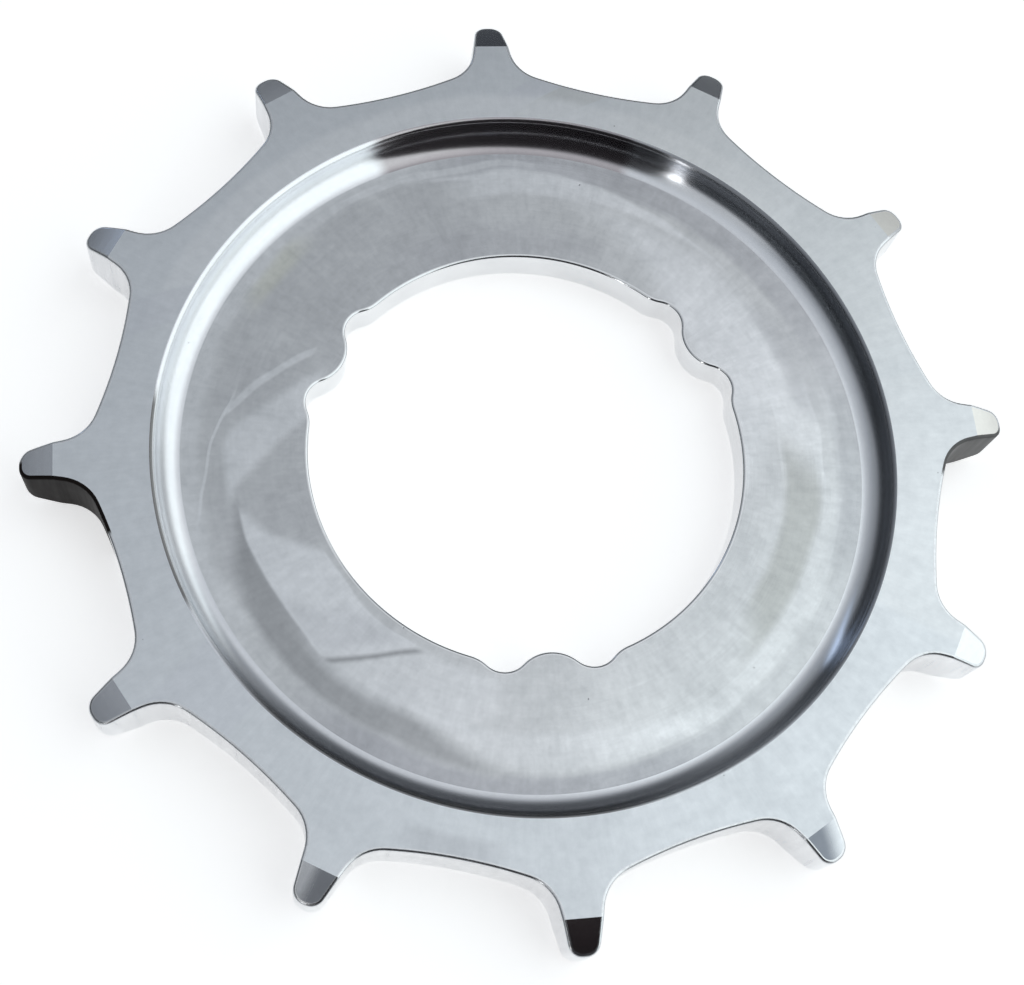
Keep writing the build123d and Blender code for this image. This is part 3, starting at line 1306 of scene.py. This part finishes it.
# Painted reflections on the recess floor: pale painted highlights and darker painted shade, fixed to the
# steel.
FLOOR_PAINTED_REFLECTIONS = (
    Patch(308, 48, 30, 20.2, 5.0, 3.2, GREY, 0.16, 2),
    Patch(300, 60, 30, 26.6, 0.9, 1.2, LIGHT, 0.6),
    Patch(256, 8, 10, 20.5, 5.0, 2.4, GREY, 0.2),
    Patch(0, 26, 26, 18.4, 2.0, 2.6, GREY, 0.36),
    Patch(5, 12, 14, 24.9, 1.7, 0.8, LIGHT, 0.85),
    Patch(125, 34, 22, 22.0, 4.6, 1.5, GREY, 0.2),
    Patch(134, 32, 14, 26.6, 0.8, 0.9, GREY, 0.28),
    Patch(62, 28, 18, 20.0, 3.2, 2.0, LIGHT, 0.7, -5),
    Patch(50, 62, 16, 26.3, 1.2, 0.9, GREY, 0.58),
    Patch(66, 12, 8, 20.8, 1.8, 0.25, LIGHT, 0.4),
    Patch(89, 11, 7, 22.4, 1.6, 0.25, LIGHT, 0.6),
    Patch(16, 15, 9, 24.7, 0.9, 0.7, LIGHT, 0.8, -19),
    Patch(74, 12, 10, 23.9, 1.2, 0.9, GREY, 0.4, 2.5),
    Patch(114, 20, 12, 22.3, 1.3, 0.9, OLIVE, 0.8, 3),
    Patch(124, 42, 14, 24.7, 0.8, 0.5, LIGHT, 0.2, -6),
    Patch(180, 20, 18, 24.0, 1.3, 0.9, LIGHT, 0.4, -10),
    Patch(188, 34, 22, 26.7, 1.0, 0.9, GREY, 0.8),
    Patch(226, 26, 13, 24.3, 1.3, 0.9, PAINTED_GREY_SHADE, 0.65, -8),
    Patch(212, 18, 14, 21.0, 2.6, 1.2, LIGHT, 0.55, 1),
    Patch(237, 16.0, 4, 20.7, 2.4, 0.3, LIGHT, 0.95, 3.06),
    Patch(229, 6.0, 8, 20.8, 2.2, 1.4, GREY, 0.3, 3.06),
    Patch(219.5, 0.8, 2.2, 20.8, 2.3, 0.6, PAINTED_GREY_SHADE, 0.8, 3.06),
    Patch(279, 6.5, 4, 20.6, 3.0, 0.8, LIGHT, 0.8, -3.4),
    Patch(311, 7, 9, 25.3, 0.7, 0.9, STRAW, 0.4, 1),
    Patch(272, 1.2, 1.2, 24.9, 1.3, 0.5, LIGHT, 0.75, -9.5),
    Patch(290.5, 1.2, 1.2, 21.3, 2.6, 0.6, LIGHT, 0.75, -3.6),
    Patch(345, 20, 16, 26.1, 0.3, 0.3, LIGHT, 0.6, 2),
)

# Painted reflections on the tooth bevels: each lightens or darkens a bevel, or paints a bluish glint or a
# dark shade on it.
BEVEL_PAINTED_REFLECTIONS = (
    painted_tip_reflection(30, PAINTED_WHITE_HIGHLIGHT, roughness=0.1),
    painted_tip_reflection(60, PAINTED_WARM_REFLECTION, roughness=0.2),
    painted_tip_reflection(90, PAINTED_WARM_REFLECTION, roughness=0.15),
    painted_tip_reflection(120, PAINTED_WHITE_HIGHLIGHT),
    Patch(152.0, 2.3, 2.6, 38, 3, 1, PAINTED_BLUISH_SHADE, 1.0, 0.4, 0.1),
    painted_tip_reflection(180, PAINTED_BROWN_SHADE),
    Patch(208.5, 1.8, 1.6, 38, 3, 1, PAINTED_BLUISH_SHADE, 0.7, 0, 0.1),
    painted_tip_reflection(240, GREY, 0.4),
    painted_tip_reflection(330, PAINTED_WHITE_HIGHLIGHT, roughness=0.12),
)

# Painted shade on the flanks of two teeth: dark and barely metallic, where those walls mirror something dark.
CUT_PAINTED_SHADE = (
    Patch(265.0, 5.5, 0.8, 37, 6, 2, PAINTED_BLACK_SHADE, 1.0, 0, 0.3, 1.0),
    Patch(94, 3.5, 1.5, 37, 6, 2, PAINTED_DARK_SHADE, 0.9, 0, 0.2, 0.8),
)

FINISHES = {
    Zone.RIM: SteelFinish(
        "ground_rim", (0.84, 0.87, 0.90), (0.82, 0.825, 0.83), 0.30, 0.40, mark_pitch=0.14, mark_height=0.5,
        mark_tone=0.15, fineness=(3.5, 3.5, 3.5), grain_height=1.4, grain_tone=0.45, streak_count=70,
        streak_tone=0.28, mottle_size=9, pit_spacing=1.9, pit_size=0.11, pit_share=0.4, pit_depth=8,
        waver=0.5, patches=RIM_PAINTED_REFLECTIONS,
    ),
    Zone.BEVEL: SteelFinish(
        "machined_bevel", (0.84, 0.86, 0.89), (0.84, 0.84, 0.85), 0.14, 0.24, mark_pitch=0.12,
        mark_height=0.6, patches=BEVEL_PAINTED_REFLECTIONS,
    ),
    Zone.RECESS: SteelFinish(
        "turned_recess", (0.88, 0.90, 0.93), (0.86, 0.86, 0.87), 0.18, 0.21, mark_pitch=0.08, mark_breaks=4,
        mark_height=0.8, grain_height=0.2, pit_share=0.12, drawn=1.0, patches=RECESS_PAINTED_REFLECTIONS,
    ),
    Zone.FLOOR: SteelFinish(
        "turned_floor", (0.76, 0.775, 0.785), (0.72, 0.725, 0.73), 0.12, 0.18, mark_pitch=0.05,
        mark_height=3.0, mark_tone=0.18, fineness=(3.0, 3.0, 3.0), grain_height=0.8, grain_tone=0.45,
        streak_tone=0.28, mottle_size=6, mottle_tone=1.2, pit_size=0.12, pit_share=0.3, waver=1.4,
        patches=FLOOR_PAINTED_REFLECTIONS,
    ),
    Zone.CUT: SteelFinish(
        "cut_wall", (0.87, 0.88, 0.895), (0.80, 0.805, 0.81), 0.16, 0.30, mark_height=0.0, mark_tone=0.0,
        fineness=(7.0, 7.0, 0.4), grain_height=1.5, grain_tone=0.7, mottle_size=3,
        patches=CUT_PAINTED_SHADE,
    ),
    Zone.BORE: SteelFinish(
        "bore_wall", (0.88, 0.89, 0.90), (0.82, 0.825, 0.83), 0.10, 0.2, mark_pitch=0.14, mark_height=0.6,
    ),
    Zone.BACK: SteelFinish(
        "ground_back", (0.82, 0.85, 0.88), (0.82, 0.83, 0.84), 0.30, 0.42, mark_pitch=0.16, mark_height=0.9,
        fineness=(3.5, 3.5, 3.5), grain_height=1.4, grain_tone=0.45, streak_count=90, streak_tone=0.35,
        mottle_size=9, pit_spacing=1.9, pit_size=0.11, pit_share=0.4, pit_depth=8,
    ),
}


def main() -> None:
    """Build the studio and the sprocket, and report each piece."""
    logging.basicConfig(level=logging.INFO, format="%(name)s: %(message)s")
    effects = Effects()
    Studio().build(effects)
    piece = Sprocket().build()
    for zone in Zone:
        piece.data.materials.append(FINISHES[zone].material(effects))
    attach(piece, "root")
    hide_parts("sprocket")
    LOG.info("%s rides on root", piece.name)


if __name__ == "__main__":
    main()
